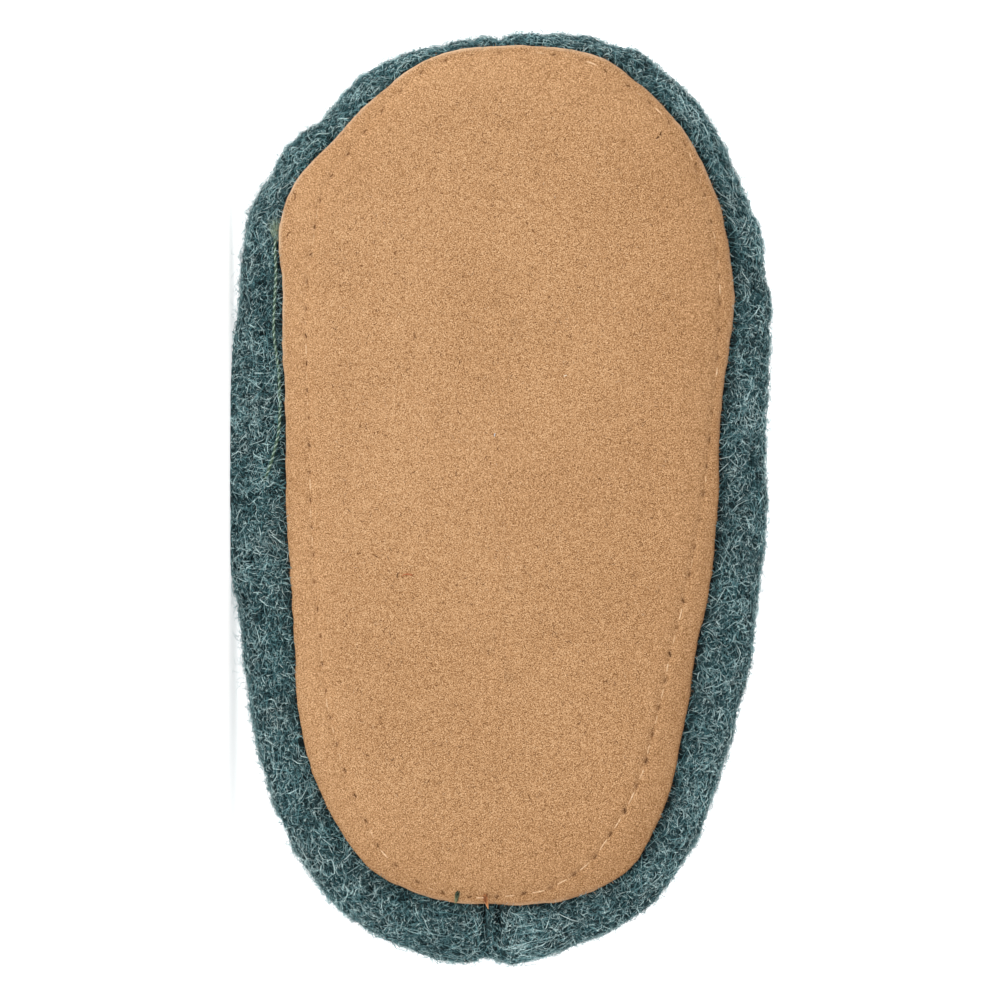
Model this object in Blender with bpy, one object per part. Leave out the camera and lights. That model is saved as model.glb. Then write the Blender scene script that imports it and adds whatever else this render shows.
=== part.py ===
"""Baby slipper for the right foot: a suede sole under a hollow knitted wool upper, lying on its outer side.

The slipper is worked out standing on its sole, in millimetres: x runs from heel to toe, y to the inner
side of the foot, z up from the tread. An empty then lays it on its outer side, with the sole facing -Y.
"""

import bmesh
import bpy
import numpy as np
from mathutils import Matrix

MM = 0.001

# Sole
SOLE_THICKNESS = 1.8
SOLE_EDGE_ROUNDING = 0.4
CROWN_RISE = 1.0
CROWN_WIDTH = 7.5
SOLE_RINGS = (5.4, 3.6, 2.0)

# Upper
WALL = 3.5
LIP_WIDTH = 6.0
LIP_START = 0.8
ROLL_HEIGHT = 9.5
COLLAR_BACK = -1.5
COLLAR_FRONT = 58.0
COLLAR_HALF_WIDTH = 26.0
COLLAR_OFFSET = -0.5
HEEL_HEIGHT = 43.0
SIDE_HEIGHT = 37.5
THROAT_HEIGHT = 40.0
SEAM_DEPTH = 0.8
SEAM_HALF_WIDTH = 1.8
FLOOR_FLAT = 36.8

# Insole
INSOLE_THICKNESS = 3.4
INSOLE_EDGE_ROUNDING = 0.8

# Clearance between pieces that meet
GAP = 0.3

# Mesh density: columns around the slipper, the share of one that a tangent is taken over, and rows up a column
COLUMNS = 92
TANGENT_SHARE = 0.1
SEAM_COLUMNS = (1.0, 2.0, 3.0)
LIP_ROWS = 2
ROLL_ROWS = 6
WALL_ROWS = 10
RIM_ROWS = 2
SHARP_ANGLE_DEG = 50.0

# The sole's edge, from the heel seam along the outer side to the toe and back along the inner side,
# and how far the wool rolls out past it.
EDGE_COLUMNS = ("along", "across", "overhang")
EDGE_ROWS = (
    (0.4, -1.3, 8.4),
    (1.2, -9.5, 8.2),
    (5.0, -17.3, 7.3),
    (13.1, -23.2, 7.0),
    (25.2, -27.2, 6.6),
    (35.0, -27.7, 7.2),
    (45.0, -28.4, 8.6),
    (66.0, -29.1, 8.6),
    (84.0, -29.5, 6.0),
    (92.0, -29.7, 4.8),
    (98.2, -27.6, 4.0),
    (104.4, -21.9, 3.7),
    (110.4, -15.9, 3.5),
    (114.5, -10.4, 2.2),
    (116.4, -1.0, 1.7),
    (116.4, 6.0, 2.2),
    (114.5, 14.4, 3.0),
    (110.4, 19.8, 3.9),
    (104.4, 25.3, 4.1),
    (98.2, 28.5, 3.9),
    (86.0, 31.5, 4.8),
    (66.0, 29.7, 6.6),
    (45.0, 28.7, 7.0),
    (35.0, 26.6, 7.7),
    (25.0, 24.9, 7.1),
    (13.1, 22.1, 6.2),
    (4.8, 17.4, 6.0),
    (1.0, 9.3, 6.8),
)

# How a column runs from the wool's widest line to the collar, by the way it faces: straight ahead to the
# toe, to either side, or straight back to the heel.
RUN_COLUMNS = ("facing_deg", "rise", "reach", "lean_deg")
RUN_ROWS = (
    (0.0, 16.0, 28.0, 66.0),
    (35.0, 20.0, 16.0, 56.0),
    (70.0, 24.0, 10.0, 42.0),
    (110.0, 21.0, 9.0, 28.0),
    (150.0, 18.0, 9.0, 16.0),
    (180.0, 17.0, 9.0, 11.0),
)

WOOL_COLOUR = (0.074, 0.122, 0.127, 1.0)
SUEDE_COLOUR = (0.571, 0.328, 0.162, 1.0)
FELT_COLOUR = (0.62, 0.57, 0.47, 1.0)


def named(columns, rows):
    """A table's columns by name."""
    return dict(zip(columns, np.array(rows).T))


def smooth_loop(knots, values, period, at):
    """A closed smooth curve through values at increasing knots, read at each of at."""
    knots = np.concatenate((knots[-2:] - period, knots, knots[:2] + period))
    values = np.concatenate((values[-2:], values, values[:2]))
    slopes = np.zeros_like(values)
    before = (values[1:-1] - values[:-2]) / (knots[1:-1] - knots[:-2])[:, None]
    after = (values[2:] - values[1:-1]) / (knots[2:] - knots[1:-1])[:, None]
    share = ((knots[2:] - knots[1:-1]) / (knots[2:] - knots[:-2]))[:, None]
    slopes[1:-1] = before * share + after * (1.0 - share)
    span = np.clip(np.searchsorted(knots, at, side="right") - 1, 1, len(knots) - 3)
    width = (knots[span + 1] - knots[span])[:, None]
    t = (at - knots[span])[:, None] / width
    start = (1.0 + 2.0 * t) * (1.0 - t) ** 2 * values[span]
    start += t * (1.0 - t) ** 2 * width * slopes[span]
    end = t**2 * (3.0 - 2.0 * t) * values[span + 1]
    end += t**2 * (t - 1.0) * width * slopes[span + 1]
    return start + end


def unit(vectors):
    return vectors / np.linalg.norm(vectors, axis=-1, keepdims=True)


class Edge:
    """The sole's edge seen from above, one place for each column: point, outward normal and overhang."""

    def __init__(self):
        table = named(EDGE_COLUMNS, EDGE_ROWS)
        corners = np.stack((table["along"], table["across"], table["overhang"]), axis=1)
        steps = np.linalg.norm(np.roll(corners, -1, axis=0)[:, :2] - corners[:, :2], axis=1)
        knots = np.concatenate(([0.0], np.cumsum(steps)[:-1]))
        self.length = steps.sum()
        spread = np.arange(COLUMNS) * self.length / COLUMNS
        near_seam = np.array(SEAM_COLUMNS)
        self.at = np.unique(np.concatenate((spread, near_seam, self.length - near_seam)))
        values = smooth_loop(knots, corners, self.length, self.at)
        step = self.length / COLUMNS * TANGENT_SHARE
        ahead = smooth_loop(knots, corners, self.length, self.at + step)
        behind = smooth_loop(knots, corners, self.length, self.at - step)
        tangent = unit((ahead - behind)[:, :2])
        self.point = values[:, :2]
        self.outward = np.stack((tangent[:, 1], -tangent[:, 0]), axis=1)
        self.overhang = values[:, 2]
        from_seam = np.minimum(self.at, self.length - self.at)
        self.seam = SEAM_DEPTH * np.exp(-((from_seam / SEAM_HALF_WIDTH) ** 2))

    def inside(self, distance):
        """The edge moved in by a distance."""
        return self.point - self.outward * distance


def raised(plan, height):
    """Points of a plan view at a height."""
    return np.column_stack((plan, np.broadcast_to(height, len(plan))))


def crown(distance):
    """How far the sole has curled up at a distance in from its edge."""
    share = np.clip(1.0 - distance / CROWN_WIDTH, 0.0, 1.0)
    return CROWN_RISE * share**2


def collar_line(widest):
    """Where each column meets the collar, and the way that it faces from the collar's middle."""
    middle = np.array(((COLLAR_BACK + COLLAR_FRONT) / 2.0, COLLAR_OFFSET))
    half = np.array(((COLLAR_FRONT - COLLAR_BACK) / 2.0, COLLAR_HALF_WIDTH))
    away = unit((widest - middle) / half)
    ahead, behind = np.clip(away[:, 0], 0.0, 1.0), np.clip(-away[:, 0], 0.0, 1.0)
    height = SIDE_HEIGHT + (THROAT_HEIGHT - SIDE_HEIGHT) * ahead**2
    height += (HEEL_HEIGHT - SIDE_HEIGHT) * behind**2
    facing = np.degrees(np.arccos(away[:, 0]))
    return raised(middle + half * away, height), facing


def lip_and_roll(edge, depth):
    """Rows from the lip's inner edge out under the sole and up the wool's roll, at a depth in the wall."""
    rows = []
    start = LIP_START + depth
    for distance in np.linspace(LIP_WIDTH, start, LIP_ROWS + 1):
        height = SOLE_THICKNESS + GAP + crown(max(distance - depth, 0.0)) + depth
        rows.append(raised(edge.inside(distance), height))
    bottom = SOLE_THICKNESS + GAP + crown(LIP_START) + depth
    reach = edge.overhang - edge.seam - depth + start
    for angle in np.linspace(0.0, np.pi / 2.0, ROLL_ROWS + 1)[1:]:
        plan = edge.point + edge.outward * (reach * np.sin(angle) - start)[:, None]
        rows.append(raised(plan, ROLL_HEIGHT - (ROLL_HEIGHT - bottom) * np.cos(angle)))
    return rows


def wall_rows(edge, widest):
    """Rows of the outer face from the wool's widest line up to the collar."""
    collar, facing = collar_line(widest[:, :2])
    table = named(RUN_COLUMNS, RUN_ROWS)
    rise = np.interp(facing, table["facing_deg"], table["rise"])[:, None]
    reach = np.interp(facing, table["facing_deg"], table["reach"])[:, None]
    lean = np.radians(np.interp(facing, table["facing_deg"], table["lean_deg"]))[:, None]
    up = np.array((0.0, 0.0, 1.0))
    inward = unit((collar - widest) * (1.0, 1.0, 0.0))
    collar = collar + inward * edge.seam[:, None]
    leave = widest + up * rise
    arrive = collar - (up * np.cos(lean) + inward * np.sin(lean)) * reach
    rows = []
    for t in np.linspace(0.0, 1.0, WALL_ROWS + 1)[1:]:
        s = 1.0 - t
        rows.append(s**3 * widest + 3 * s**2 * t * leave + 3 * s * t**2 * arrive + t**3 * collar)
    return rows


def outward_normals(grid):
    """Unit normals of a face given as rows of columns, closed along its columns."""
    around = np.roll(grid, -1, axis=1) - np.roll(grid, 1, axis=1)
    upward = np.gradient(grid, axis=0)
    return unit(np.cross(around, upward))


def upper_profile(edge):
    """The upper's closed section in every column: outer face, rounded rim at the collar, inner face."""
    base = lip_and_roll(edge, 0.0)
    outer = np.array(base + wall_rows(edge, base[-1]))
    normals = outward_normals(outer)
    first_wall_row = len(base)
    inner = np.array(lip_and_roll(edge, WALL) + list((outer - normals * WALL)[first_wall_row:]))
    middle = (outer[-1] + inner[-1]) / 2.0
    along = unit(outer[-1] - outer[-2])
    rim = []
    for angle in np.linspace(0.0, np.pi, RIM_ROWS + 2)[1:-1]:
        rim.append(middle + (normals[-1] * np.cos(angle) + along * np.sin(angle)) * WALL / 2.0)
    outer[..., 1] = np.maximum(outer[..., 1], -FLOOR_FLAT)
    return list(outer) + rim + list(inner[::-1])


def sole_profile(edge):
    """The sole's rings, from the flat of the tread out round its edge and in again on top."""
    inner_ring = CROWN_WIDTH
    rings = (inner_ring, *SOLE_RINGS, SOLE_EDGE_ROUNDING)
    tread = [raised(edge.inside(d), crown(d)) for d in rings]
    top = [raised(edge.inside(d), crown(d) + SOLE_THICKNESS) for d in reversed(rings)]
    low_edge = raised(edge.point, crown(0.0) + SOLE_EDGE_ROUNDING)
    high_edge = raised(edge.point, crown(0.0) + SOLE_THICKNESS - SOLE_EDGE_ROUNDING)
    return tread + [low_edge, high_edge] + top


def insole_profile(edge):
    """The insole's rings: it fills the opening that the upper's lip leaves over the sole."""
    side = LIP_WIDTH + GAP
    bottom = SOLE_THICKNESS + GAP + crown(side)
    soft = INSOLE_EDGE_ROUNDING
    return [
        raised(edge.inside(side + soft), bottom),
        raised(edge.inside(side), bottom + soft),
        raised(edge.inside(side), bottom + INSOLE_THICKNESS - soft),
        raised(edge.inside(side + soft), bottom + INSOLE_THICKNESS),
    ]


def mesh_from_rows(name, rows, closed_section):
    """A solid from rows of points that run around the slipper: a closed section, or rings with two caps."""
    work = bmesh.new()
    rings = [[work.verts.new(p * MM) for p in row] for row in rows]
    pairs = list(zip(rings, rings[1:]))
    if closed_section:
        pairs.append((rings[-1], rings[0]))
    else:
        work.faces.new(rings[0])
        work.faces.new(rings[-1])
    count = len(rings[0])
    for low, high in pairs:
        for i in range(count):
            j = (i + 1) % count
            work.faces.new((low[i], low[j], high[j], high[i]))
    bmesh.ops.recalc_face_normals(work, faces=work.faces)
    mesh = bpy.data.meshes.new(name)
    work.to_mesh(mesh)
    work.free()
    mesh.shade_smooth()
    mesh.set_sharp_from_angle(angle=np.radians(SHARP_ANGLE_DEG))
    return mesh


def plain_material(name, colour, roughness):
    material = bpy.data.materials.new(name)
    material.use_nodes = True
    shader = material.node_tree.nodes["Principled BSDF"]
    shader.inputs["Base Color"].default_value = colour
    shader.inputs["Roughness"].default_value = roughness
    shader.inputs["Metallic"].default_value = 0.0
    return material


def add_piece(name, mesh, material, parent):
    piece = bpy.data.objects.new(name, mesh)
    mesh.materials.append(material)
    piece.parent = parent
    bpy.context.scene.collection.objects.link(piece)
    return piece


def lying_matrix(meshes):
    """Toe to -X, sole to -Y, inner side up, with the box's bottom centre at the origin."""
    points = np.array([v.co for mesh in meshes for v in mesh.vertices])
    low, high = points.min(axis=0), points.max(axis=0)
    middle = (low + high) / 2.0
    return Matrix(
        (
            (-1.0, 0.0, 0.0, middle[0]),
            (0.0, 0.0, 1.0, -middle[2]),
            (0.0, 1.0, 0.0, -low[1]),
            (0.0, 0.0, 0.0, 1.0),
        )
    )


def main():
    for old in list(bpy.data.objects):
        bpy.data.objects.remove(old)
    edge = Edge()
    meshes = {
        "outsole": mesh_from_rows("outsole", sole_profile(edge), closed_section=False),
        "upper": mesh_from_rows("upper", upper_profile(edge), closed_section=True),
        "insole": mesh_from_rows("insole", insole_profile(edge), closed_section=False),
    }
    materials = {
        "outsole": plain_material("suede", SUEDE_COLOUR, 0.9),
        "upper": plain_material("wool", WOOL_COLOUR, 0.95),
        "insole": plain_material("felt", FELT_COLOUR, 0.95),
    }
    slipper = bpy.data.objects.new("slipper", None)
    bpy.context.scene.collection.objects.link(slipper)
    slipper.matrix_world = lying_matrix(meshes.values())
    for name, mesh in meshes.items():
        add_piece(name, mesh, materials[name], slipper)


main()
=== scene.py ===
"""Looks of the baby slipper: fuzzy felted wool knit, napped suede sole with its sewing, and felt insole.

Shapes are worked out on the standing slipper, in millimetres: x runs from heel to toe, y to the inner side
of the foot, z up from the tread. to_world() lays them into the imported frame.
"""

import math

import bpy
import numpy as np
from mathutils import Matrix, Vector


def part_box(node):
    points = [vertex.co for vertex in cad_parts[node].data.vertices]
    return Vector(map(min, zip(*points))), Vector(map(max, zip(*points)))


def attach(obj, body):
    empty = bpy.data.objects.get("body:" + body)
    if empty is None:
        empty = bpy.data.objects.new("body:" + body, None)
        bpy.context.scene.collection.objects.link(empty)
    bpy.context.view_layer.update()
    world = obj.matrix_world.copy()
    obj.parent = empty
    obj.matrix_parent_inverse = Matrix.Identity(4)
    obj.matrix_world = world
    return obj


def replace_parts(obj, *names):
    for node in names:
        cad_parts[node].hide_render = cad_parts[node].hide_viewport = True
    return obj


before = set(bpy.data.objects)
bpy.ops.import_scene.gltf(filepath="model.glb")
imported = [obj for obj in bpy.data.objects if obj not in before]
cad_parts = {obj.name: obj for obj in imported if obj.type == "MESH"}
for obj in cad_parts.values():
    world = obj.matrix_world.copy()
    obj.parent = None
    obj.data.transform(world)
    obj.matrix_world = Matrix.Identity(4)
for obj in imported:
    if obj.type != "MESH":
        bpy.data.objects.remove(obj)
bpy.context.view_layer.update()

MM = 0.001
SEED = 19
FULL_TURN = 2.0 * math.pi
UP = np.array((0.0, 0.0, 1.0))
ASKEW = (0.31, 0.52, 0.79)

# Form of the solids
SOLE_THICKNESS = 1.8
CROWN_RISE = 1.0
CROWN_WIDTH = 7.5
WALL = 3.5
LIP_WIDTH = 6.0
LIP_START = 0.8
ROLL_HEIGHT = 9.5
COLLAR_BACK = -1.5
COLLAR_FRONT = 58.0
COLLAR_HALF_WIDTH = 26.0
COLLAR_OFFSET = -0.5
HEEL_HEIGHT = 43.0
SIDE_HEIGHT = 37.5
THROAT_HEIGHT = 40.0
SEAM_DEPTH = 0.8
SEAM_HALF_WIDTH = 1.8
FLOOR_FLAT = 36.8
INSOLE_THICKNESS = 3.4
INSOLE_EDGE_ROUNDING = 0.8
INSOLE_COLUMNS = 300
INSOLE_RINGS = 14
GAP = 0.3

# The sole's edge from the heel seam along the outer side to the toe and back along the inner side, how far
# the wool rolls out past it, and how far in from it the sewing runs.
EDGE_COLUMNS = ("along", "across", "overhang", "sewn_in")
EDGE_ROWS = (
    (0.4, -1.3, 8.4, 0.9),
    (1.2, -9.5, 8.2, 1.1),
    (5.0, -17.3, 7.3, 2.7),
    (13.1, -23.2, 7.0, 4.0),
    (25.2, -27.2, 6.6, 4.2),
    (35.0, -27.7, 7.2, 3.5),
    (45.0, -28.4, 8.6, 3.3),
    (66.0, -29.1, 8.6, 3.2),
    (84.0, -29.5, 6.0, 3.4),
    (92.0, -29.7, 4.8, 4.7),
    (98.2, -27.6, 4.0, 4.0),
    (104.4, -21.9, 3.7, 2.6),
    (110.4, -15.9, 3.5, 1.8),
    (114.5, -10.4, 2.2, 1.3),
    (116.4, -1.0, 1.7, 0.9),
    (116.4, 6.0, 2.2, 1.0),
    (114.5, 14.4, 3.0, 1.2),
    (110.4, 19.8, 3.9, 1.0),
    (104.4, 25.3, 4.1, 0.9),
    (98.2, 28.5, 3.9, 1.3),
    (86.0, 31.5, 4.8, 1.9),
    (66.0, 29.7, 6.6, 1.1),
    (45.0, 28.7, 7.0, 3.0),
    (35.0, 26.6, 7.7, 3.3),
    (25.0, 24.9, 7.1, 3.7),
    (13.1, 22.1, 6.2, 4.6),
    (4.8, 17.4, 6.0, 5.0),
    (1.0, 9.3, 6.8, 2.5),
)
EDGE_PROBE = 0.3

# How a column of the upper runs from the wool's widest line to the collar, by the way it faces: straight
# ahead to the toe, to either side, or straight back to the heel.
RUN_COLUMNS = ("facing_deg", "rise", "reach", "lean_deg")
RUN_ROWS = (
    (0.0, 16.0, 28.0, 66.0),
    (35.0, 20.0, 16.0, 56.0),
    (70.0, 24.0, 10.0, 42.0),
    (110.0, 21.0, 9.0, 28.0),
    (150.0, 18.0, 9.0, 16.0),
    (180.0, 17.0, 9.0, 11.0),
)

# Wool knit
WOOL_COLUMNS = 500
SEAM_COLUMNS = 48
SEAM_REACH = 3.6
LIP_ROWS = 2
ROLL_ROWS = 26
WALL_ROWS = 76
RIM_ROWS = 5
WIDEST_ROW = LIP_ROWS + ROLL_ROWS
COLLAR_ROW = WIDEST_ROW + WALL_ROWS
INNER_STEP = 2
STITCH_WIDTH = 3.7
STITCH_HEIGHT = 3.3
STITCH_RELIEF = 0.85
COURSE_WANDER = 0.28
WALE_WANDER = 0.3
LEG_APART = 0.2
LEG_SPLAY = 0.14
LEG_HALF_WIDTH = 0.36
LEG_HALF_HEIGHT = 0.72
LEG_ROUNDNESS = 0.6
LUMP_RELIEF = 0.55
LUMP_SIZE = 4.6
KNIT_SINK = 0.44
SCALLOPS = 0.16
SCALLOP_SIZE = 3.6
INSIDE_RELIEF = 0.7
INSIDE_LUMPS = 0.25
SEAM_LINES = ((-1.15, 1.0), (0.9, 0.7))
SEAM_LINE_HALF_WIDTH = 0.3
SEAM_WANDER = 0.25
SEAM_SHOWS = 5.0
SEAM_SHADE = 0.85
RELIEF_STARTS = 5.0
RELIEF_ENDS = 6.0
RELIEF_AT_RIM = 0.15
BULGE_ROWS_ABOVE = 16
# Painted shade on the wool's ground: over how many rows above the widest line it fades out, and how much
# colour is left on the lip and roll
DARK_ROWS = 9
DARK_AT_ROLL = 0.3

# Bumps and notches of the wool's outline as seen from the sole: how far round the sole's edge from the heel
# seam each is, its half width and its height.
BUMP_COLUMNS = ("at", "half_width", "height")
BUMP_ROWS = (
    (4.0, 3.2, 0.8),
    (14.0, 3.0, 0.4),
    (24.5, 1.3, 0.35),
    (30.0, 1.4, 0.25),
    (34.0, 2.2, -0.35),
    (47.5, 2.0, 0.3),
    (54.5, 3.5, -0.4),
    (97.0, 2.5, -0.25),
    (107.0, 1.3, 0.35),
    (112.5, 1.2, -0.3),
    (117.0, 2.9, 0.85),
    (121.0, 1.5, -0.2),
    (129.0, 2.0, 0.35),
    (140.5, 3.0, -0.35),
    (145.3, 1.2, 0.25),
    (147.3, 0.8, -0.35),
    (150.6, 2.2, 0.35),
    (153.2, 0.7, -0.2),
    (155.0, 1.3, 0.3),
    (158.5, 1.6, 0.25),
    (162.0, 1.0, -0.3),
    (165.0, 1.8, 0.4),
    (174.5, 1.4, 0.25),
    (181.0, 1.6, 0.3),
    (188.0, 1.6, 0.25),
    (191.5, 2.2, 0.45),
    (198.0, 1.7, -0.45),
    (206.0, 2.0, 0.3),
    (227.0, 2.4, 0.3),
    (247.0, 2.0, 0.45),
    (253.0, 2.0, 0.3),
    (259.5, 3.0, 0.3),
    (264.5, 1.5, -0.15),
    (272.5, 1.3, 0.25),
    (277.0, 1.5, -0.15),
    (282.0, 2.0, 0.25),
    (286.0, 2.0, 0.25),
    (291.0, 2.2, 0.5),
    (296.0, 3.4, 0.8),
)

# Wool fibres: how many there are to a square millimetre as seen from the sole or on the wall, their length,
# and how far they stand off the wool from root to tip, as a share of their height.
SHORT_ARCH = (0.0, 1.0, 0.35)
LONG_ARCH = (0.0, 1.0, 1.15, 0.6)
SEEN_LAYERS = (
    (27.0, 1.15, SHORT_ARCH),
    (4.0, 2.4, LONG_ARCH),
)
WALL_LAYERS = ((1.8, 1.75, SHORT_ARCH),)
WALL_SHARE = 0.85
BY_ROLL_SHARE = 1.8
BY_ROLL_ROWS = 22.0
INSIDE_SHARE = 0.9
INSIDE_DEPTH = 12.0
TOE_TURNS = (0.36, 0.64)
FIBRE_RADIUS = 0.035
FIBRE_ROOT = 0.06
FIBRE_STAND = (2.0, 0.11)
FIBRE_SPREAD = 0.35
FIBRE_CURL = 1.6
LOOSE_STAND = 2.2
# DARK_GAP and GAP_SHADE_*: how far out past the sole's edge painted shade darkens the wool, and how
# strongly on each side
DARK_GAP = 1.15
BARE_GAP = 0.5
GAP_SHADE_HEEL = 0.2
GAP_SHADE_TOE = 0.5
GAP_SHADE_OUTER = 0.6
GAP_SHADE_INNER = 1.0

# How a hair's tint comes about: by chance and in patches, and by painted light and shade: paler the farther
# it stands off and the higher its place in the knit, with painted shade to the outer side and beside the
# sole.
TINT_CHANCE = 0.96
TINT_SPREAD = (0.75, 0.95)
PAINTED_LIGHT_BY_STAND = 0.75
MEAN_STAND = (0.2, 0.49)
PAINTED_LIGHT_BY_KNIT = 0.36
MEAN_KNIT = 0.6
TINT_PATCHES = 0.1
PAINTED_OUTER_SHADE = 0.035
PAINTED_GAP_SHADE_ON_HAIRS = 0.9

# Loose hairs off the wool: the piece, their number, lengths, mean height, tints, radii and arch
# Their pale tints are painted light: loose hairs at the outline look lit from behind
LOOSE_ROWS = (
    ("wool_fringe", 11000, (0.9, 2.3), 0.24, (0.5, 0.95), (0.018, 0.03), (-0.05, 0.8, 1.0)),
    ("wool_halo", 1300, (1.6, 4.0), 0.45, (0.7, 1.0), (0.014, 0.026), (-0.1, 0.5, 0.9, 1.0)),
)
CROSSING_FIBRES = 520
CROSSING_KNOTS = 4
CROSSING_SLANT = 0.9
CROSSING_ROOTS = (0.5, 1.5)
CROSSING_TIPS = (-0.45, 0.5)
CROSSING_LIFTS = (0.0, 0.9)
CROSSING_RADII = (0.02, 0.036)
CROSSING_TINTS = (0.35, 0.9)

# Suede
SOLE_COLUMNS = 760
SOLE_EDGE_STEP = 0.22
SOLE_EDGE_RINGS = 27
SOLE_MIDDLE_RINGS = 10
SOLE_TOP_RINGS = (0.0, 0.3, 2.0, 4.0, 6.5)
EDGE_BEVEL = 0.25
# Painted shade along the edge and curled margin, a painted highlight on the cut edge, painted shade in
# slits
LINE_WIDTH = 0.25
PAINTED_MARGIN_SHADE = 0.24
PAINTED_MARGIN_WIDTH = 2.2
RIM_SHADE = 0.07
RIM_WIDTH = 1.1
PAINTED_EDGE_HIGHLIGHT = 0.85
PAINTED_HIGHLIGHT_WIDTH = 0.28
HOLE_SHADE = 0.3
SPINE = ((30.0, 0.0), (86.0, 0.8))
SPINE_REACH = 0.97
SLIT_DEPTH = 0.4
SLIT_LENGTH = 0.4
SLIT_WIDTH = 0.17
TROUGH_DEPTH = 0.16
TROUGH_WIDTH = 0.5
NAP_FLECKS = 3400
NAP_MARGIN = 6.5
NAP_LENGTHS = (0.25, 0.8)
NAP_HEIGHTS = (0.02, -0.06, 0.02)
NAP_RADII = (0.02, 0.04)
DARK_FLECKS = 0.26
EDGE_HAIRS = 800
EDGE_HAIR_LENGTHS = (0.1, 0.3)
STITCH_PITCH = 3.7
STITCH_START = 2.85
THREAD_RADIUS = 0.11
THREAD_KNOTS = 11
THREAD_STARTS = (0.4, 1.2)
THREAD_STOPS = (0.4, 1.0)
THREAD_SINK = 0.21
THREAD_DIVE = 0.3
LEAST_SHOWN = 0.25

# How plainly the needle slits and the thread show, by how far round the edge from the heel seam
SEWING_COLUMNS = ("turn", "slits", "thread")
SEWING_ROWS = (
    (0.0, 0.6, 0.8),
    (0.06, 0.6, 0.5),
    (0.12, 0.6, 0.5),
    (0.2, 0.45, 0.25),
    (0.32, 0.65, 0.6),
    (0.4, 0.55, 0.3),
    (0.55, 0.5, 0.25),
    (0.7, 0.55, 0.35),
    (0.82, 0.75, 0.6),
    (0.9, 1.0, 0.9),
    (1.0, 0.6, 0.8),
)

# A green thread end that lies on the wool beside the sole's outer edge: how far along the slipper, and how
# far out past the edge.
GREEN_ROWS = (
    (91.9, 0.6),
    (86.4, 0.75),
    (83.0, 1.05),
    (77.7, 1.3),
    (73.0, 0.8),
    (69.5, 0.7),
    (67.2, 0.7),
    (64.1, 1.0),
    (61.8, 1.6),
    (59.6, 2.3),
    (57.6, 3.2),
)
# Its two plies: the piece, which way round it starts and its radius
GREEN_PLIES = (
    ("green_thread_pale", 0.0, 0.085),
    ("green_thread_dark", math.pi, 0.14),
)
GREEN_KNOTS = 260
GREEN_LIFT = 0.35
GREEN_SWING = 0.12
GREEN_TWIST = 0.95
TUFT_HAIRS = 80
TUFT_ROOT = (-1.9, 0.0, 0.0)
TUFT_WAY = (0.95, 0.05, -0.1)
TUFT_LENGTHS = (2.0, 3.4)
TUFT_RADII = (0.024, 0.04)

# Thread ends at the sole's edge by the heel seam: the piece, how far round from the seam it is, how far in
# from the edge it starts and stops, how far it leans aside and how thick it is.
HEEL_ENDS = (
    ("heel_thread_green", 4.6, 1.35, 0.15, 0.2, 0.34),
    ("heel_thread_tan", 0.55, 1.0, -0.45, -0.4, 0.24),
)
HEEL_HAIRS = 34
HEEL_RADII = (0.04, 0.08)

# Lint and small marks on the suede, and the painted shade of two small creases by its edge: where the
# middle is, which way it runs from the toe's direction, its length and its tint from dark brown over rust
# and cream to bluish white.
MARK_COLUMNS = ("along", "across", "heading_deg", "length", "tint")
MARK_ROWS = (
    (71.8, 8.8, 65.0, 0.6, 0.72),
    (63.8, -0.75, 10.0, 0.55, 1.0),
    (45.0, -12.5, 90.0, 2.0, 0.36),
    (44.9, -13.9, 20.0, 1.0, 0.05),
    (104.5, 21.7, 5.0, 0.8, 0.0),
    (104.0, 21.3, 55.0, 0.6, 0.0),
    (100.5, 26.5, 30.0, 0.5, 0.05),
    (57.3, 1.3, 80.0, 0.7, 0.2),
    (66.8, -5.6, -40.0, 0.9, 0.15),
    (30.5, 14.2, 60.0, 0.8, 0.15),
    (24.0, -9.5, 110.0, 0.7, 0.2),
    (88.4, -14.2, 20.0, 0.7, 0.18),
    # Painted shade: the shadows of two small creases by the sole's edge
    (96.1, -27.7, 175.0, 1.5, 0.16),
    (91.1, -28.6, 45.0, 1.4, 0.14),
)
MARK_RADIUS = 0.09

# Colours on the photo's scale, 0 to 255, at stops from 0 to 1
SHADES = {
    "wool": ((0.32, 26, 46, 50), (0.5, 82, 114, 117), (0.68, 156, 186, 187)),
    "teal_hair": ((0.0, 10, 22, 25), (0.3, 44, 88, 95), (0.65, 117, 170, 176), (1.0, 216, 246, 246)),
    "grey_hair": ((0.0, 18, 22, 25), (0.3, 74, 90, 93), (0.65, 146, 164, 164), (1.0, 228, 236, 232)),
    "suede": ((0.2, 96, 62, 34), (0.33, 149, 107, 68), (0.5, 199, 154, 110), (0.72, 240, 203, 161)),
    "suede_nap": ((0.0, 112, 74, 42), (0.2, 146, 102, 64), (0.5, 200, 156, 112), (1.0, 240, 212, 178)),
    "suede_marks": (
        (0.0, 84, 54, 32),
        (0.22, 158, 114, 74),
        (0.36, 186, 112, 74),
        (0.7, 246, 226, 198),
        (1.0, 222, 226, 230),
    ),
    "beige_thread": ((0.35, 206, 164, 122), (0.65, 236, 204, 166)),
    "pale_green_thread": ((0.35, 150, 182, 166), (0.65, 198, 220, 208)),
    "dark_green_thread": ((0.35, 58, 84, 70), (0.65, 88, 116, 96)),
    "green_tuft": ((0.35, 124, 150, 132), (0.65, 186, 206, 184)),
    "olive_thread": ((0.15, 26, 34, 30), (0.45, 92, 104, 78), (0.95, 150, 150, 112)),
    "tan_thread": ((0.15, 138, 88, 56), (0.45, 212, 142, 88), (0.95, 238, 188, 142)),
    "felt": ((0.3, 168, 156, 134), (0.7, 224, 214, 194)),
}
NOISE_TURN = (0.6, 0.4, 0.9)
THREAD_GRAIN = 0.3

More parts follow.
